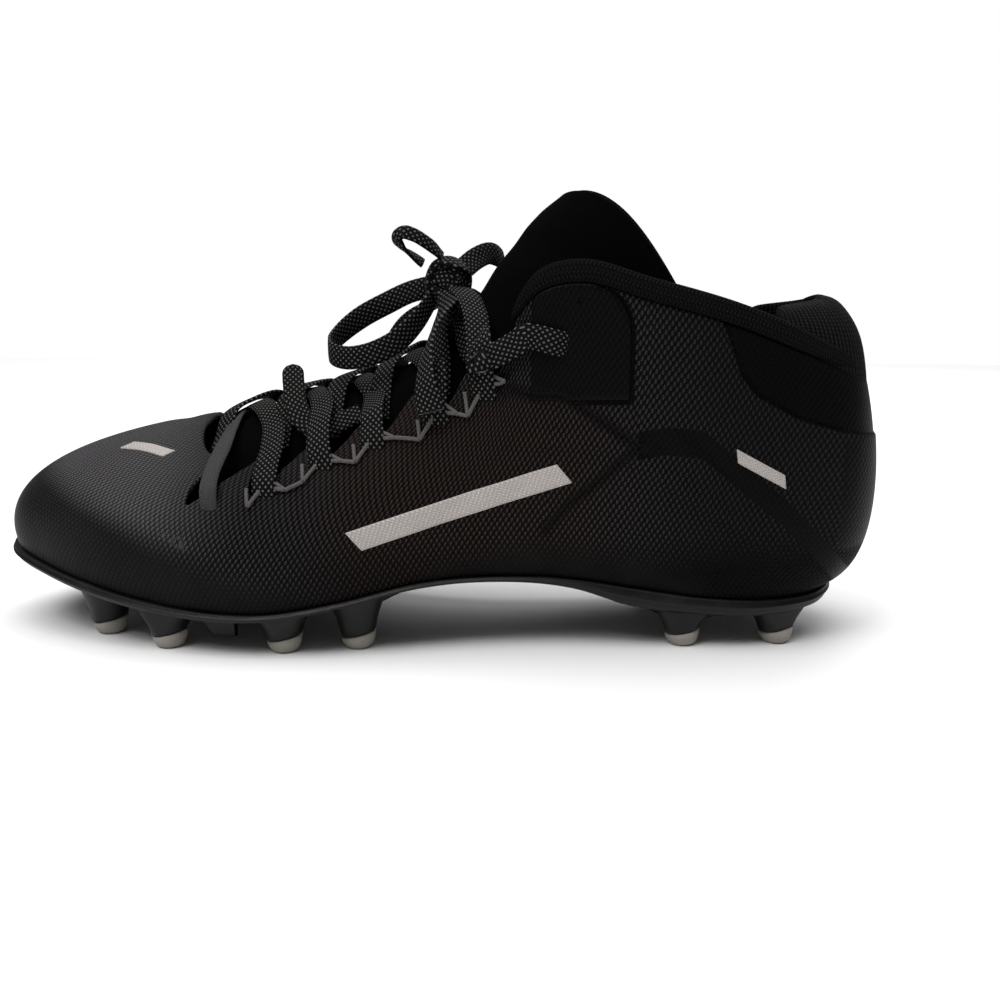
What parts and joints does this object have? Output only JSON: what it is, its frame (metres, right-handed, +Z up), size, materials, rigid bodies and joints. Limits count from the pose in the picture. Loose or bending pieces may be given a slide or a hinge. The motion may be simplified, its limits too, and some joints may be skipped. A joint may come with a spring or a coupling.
{
  "type": "american football cleat",
  "caption": "Left three-quarter football cleat with a hollow knitted upper, wrap tongue, laced throat and a moulded plate on conical studs.",
  "frame": {"origin": "on the floor, below the middle of the shoe's box", "axes": "+X from the toe to the heel, -Y to the outer side of the foot, +Z up"},
  "size_m": [0.2983, 0.0985, 0.1439],
  "materials": {
    "plate": "moulded black plastic, satin",
    "stud_cap": "moulded off-white plastic",
    "lining": "ribbed black mesh",
    "knit": "near-black knit with a fine raised cell pattern",
    "tongue": "soft matt black cloth",
    "collar": "soft rolled knit",
    "lace": "flat black lace with light flecks"
  },
  "bodies": {
    "root": {"plate": "plate", "stud_cap_outer_1": "stud_cap", "stud_cap_outer_2": "stud_cap", "stud_cap_outer_3": "stud_cap", "stud_cap_outer_4": "stud_cap", "stud_cap_inner_1": "stud_cap", "stud_cap_inner_2": "stud_cap", "stud_cap_inner_3": "stud_cap", "stud_cap_heel_outer_front": "stud_cap", "stud_cap_heel_outer_back": "stud_cap", "stud_cap_heel_inner_front": "stud_cap", "stud_cap_heel_inner_back": "stud_cap", "insole": "lining", "upper": "knit", "tongue": "tongue", "collar_band": "collar", "heel_tab": "lining", "lace_crossings": "lace", "lace_knot": "lace", "lace_loop_outer": "lace", "lace_loop_inner": "lace", "lace_ear": "lace", "lace_rise_outer": "lace", "lace_end_outer": "lace", "lace_end_inner": "lace"}
  },
  "joints": []
}
